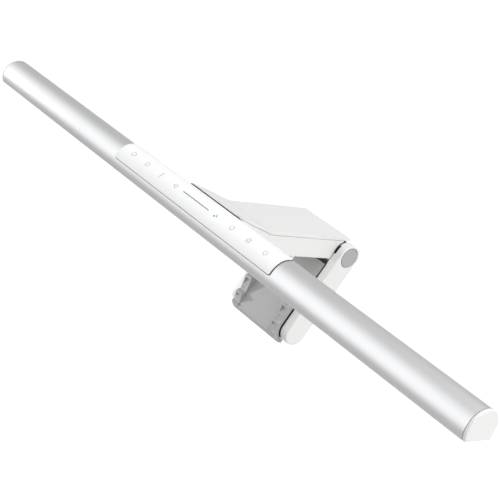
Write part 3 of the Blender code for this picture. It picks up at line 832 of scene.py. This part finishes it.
WHITE = node_material("moulded_white", (0.78, 0.778, 0.77), 0.42, grain=3200.0, spread=0.008, depth=0.000006)
PANEL = panel_material()
ALUMINIUM = node_material("blasted_aluminium", (0.80, 0.80, 0.80), 0.45, 1.0, grain=4200.0, spread=0.012,
                          depth=0.000004)
GREY_CAP = node_material("cap_grey", (0.385, 0.39, 0.40), 0.5, grain=3000.0, depth=0.000006)
BLACK = node_material("moulded_black", (0.02, 0.02, 0.022), 0.5, grain=2400.0, depth=0.00001)
SILICONE = node_material("soft_silicone", (0.40, 0.40, 0.395), 0.68, grain=2200.0, depth=0.00001)
OPAL = opal_material()
STEEL = node_material("bright_steel", (0.56, 0.57, 0.58), 0.32, 1.0, grain=2500.0, stretch=(0.1, 1.0, 1.0),
                      depth=0.000006)
BOARD = node_material("green_board", (0.03, 0.16, 0.08), 0.45, grain=2600.0, spread=0.2, depth=0.00002)
PRINT = node_material("printed_grey", (0.30, 0.30, 0.31), 0.55, grain=5000.0, depth=0.000002)
SLIDER = node_material("printed_slider", (0.10, 0.12, 0.17), 0.45, grain=5000.0, depth=0.000002)
LIT = node_material("lit_mark", (0.02, 0.10, 0.16), 0.45, grain=5000.0, depth=0.000002)
SLOT_LOOKS = {"satin_aluminium": ALUMINIUM, "white_plastic": WHITE, "panel_white": PANEL,
              "opal_diffuser": OPAL, "circuit_board": BOARD, "steel": STEEL, "black_plastic": BLACK,
              "grey_silicone": SILICONE, "grey_cap": GREY_CAP}


def piece(obj, body, slot, material, *nodes):
    """Gives a visible piece its finish, its body and the CAD nodes that it stands for."""
    obj.data.materials.clear()
    obj.data.materials.append(material)
    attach(obj, body)
    if nodes:
        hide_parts(*nodes)
    return obj


def finish_cad_nodes():
    """Every CAD node that still shows takes the finish of its slot."""
    for obj in frame["nodes"].values():
        old = obj.data.materials[0].name.split(".")[0] if obj.data.materials else ""
        obj.data.materials.clear()
        obj.data.materials.append(SLOT_LOOKS.get(old, STEEL))


# ---------------------------------------------------------------- floor, light and camera

def make_floor():
    """A plain pale floor that glows behind the object, so that the background is white."""
    side, front, depth, glow = 40.0, -1.75, -0.9, 0.7
    mesh = bpy.data.meshes.new("floor")
    corners = [(-side, front, depth), (side, front, depth), (side, side, depth), (-side, side, depth)]
    mesh.from_pydata(corners, [], [(0, 1, 2, 3)])
    floor = link("floor", mesh)
    material = bpy.data.materials.new("floor")
    material.use_nodes = True
    tree = material.node_tree
    shader = tree.nodes["Principled BSDF"]
    shader.inputs["Base Color"].default_value = (0.62, 0.62, 0.62, 1.0)
    shader.inputs["Roughness"].default_value = 0.9
    shader.inputs["Emission Color"].default_value = (1.0, 1.0, 1.0, 1.0)
    coords = tree.nodes.new("ShaderNodeTexCoord")
    split = tree.nodes.new("ShaderNodeSeparateXYZ")
    tree.links.new(coords.outputs["Object"], split.inputs["Vector"])
    fade = smooth_step(tree, split.outputs["Y"], -0.3, 0.7, 0.0, glow)
    tree.links.new(fade, shader.inputs["Emission Strength"])
    mesh.materials.append(material)


TENT, TENT_GLOW, GLOW_EDGE = 0.52, 0.88, 0.40


def make_world():
    """A pale even tent that is a little brighter at the front left."""
    world = bpy.data.worlds.new("studio")
    world.use_nodes = True
    tree = world.node_tree
    sky = tree.nodes["Background"]
    sky.inputs["Color"].default_value = (0.985, 0.99, 1.0, 1.0)
    coords = tree.nodes.new("ShaderNodeTexCoord")
    facing = tree.nodes.new("ShaderNodeVectorMath")
    facing.operation = "DOT_PRODUCT"
    facing.inputs[1].default_value = Vector((-0.675, -0.72, 0.0)).normalized()
    tree.links.new(coords.outputs["Generated"], facing.inputs[0])
    glow = smooth_step(tree, facing.outputs["Value"], GLOW_EDGE, 1.0, TENT, TENT + TENT_GLOW)
    tree.links.new(glow, sky.inputs["Strength"])
    bpy.context.scene.world = world


def aim(light, place, target):
    """The light hangs at its place and shines at the target."""
    lamp = link(light.name, light)
    lamp.location = place
    lamp.rotation_mode = "QUATERNION"
    lamp.rotation_quaternion = (Vector(target) - Vector(place)).to_track_quat("-Z", "Y")


def area_light(name, place, target, size, watts, colour=(1.0, 1.0, 1.0)):
    light = bpy.data.lights.new(name, "AREA")
    light.shape = "RECTANGLE"
    light.size, light.size_y = size
    light.energy = watts
    light.color = colour
    aim(light, place, target)


def spot_light(name, place, target, reach, watts):
    """A soft-edged spot that lights a circle of the given radius around its target."""
    light = bpy.data.lights.new(name, "SPOT")
    light.energy = watts
    light.shadow_soft_size = 0.05
    distance = (Vector(target) - Vector(place)).length
    light.spot_size = 2 * math.atan(reach / distance)
    light.spot_blend = 0.6
    aim(light, place, target)


def make_lights():
    middle = (0.0, -0.04, 0.0)
    area_light("overhead", (0.5, 0.15, 1.35), middle, (1.2, 1.2), 12.6)
    area_light("right", (1.35, -0.1, 0.35), middle, (1.0, 1.0), 6.0, (1.0, 0.985, 0.96))
    spot_light("pad_light", (-1.5, -0.62, -0.06), (0.0, 0.055, -0.055), 0.07, 115.0)


def make_camera():
    place, target = Vector((0.56865, -0.59774, 0.24460)), Vector((0.0, -0.03012, -0.00774))
    roll = math.radians(20.53)
    forward = (target - place).normalized()
    level = forward.cross(Vector((0, 0, 1))).normalized()
    upright = level.cross(forward)
    right = level * math.cos(roll) + upright * math.sin(roll)
    up = upright * math.cos(roll) - level * math.sin(roll)
    data = bpy.data.cameras.new("camera")
    data.lens = 91.99
    data.sensor_width = 36.0
    camera = link("camera", data)
    camera.location = place
    camera.rotation_mode = "QUATERNION"
    camera.rotation_quaternion = Matrix((right, up, -forward)).transposed().to_quaternion()
    bpy.context.scene.camera = camera


finish_cad_nodes()
make_tube()
make_end_caps()
make_panel()
make_panel_seal()
make_lenses()
make_marks()
make_shell()
make_cover()
make_rest_pad()
make_leg()
make_hinge_caps()
make_grip_pad()
make_neck_shade_sheet()
make_barrel()
make_carrier()
make_floor()
make_world()
make_lights()
make_camera()
bpy.context.scene.view_settings.view_transform = "Standard"
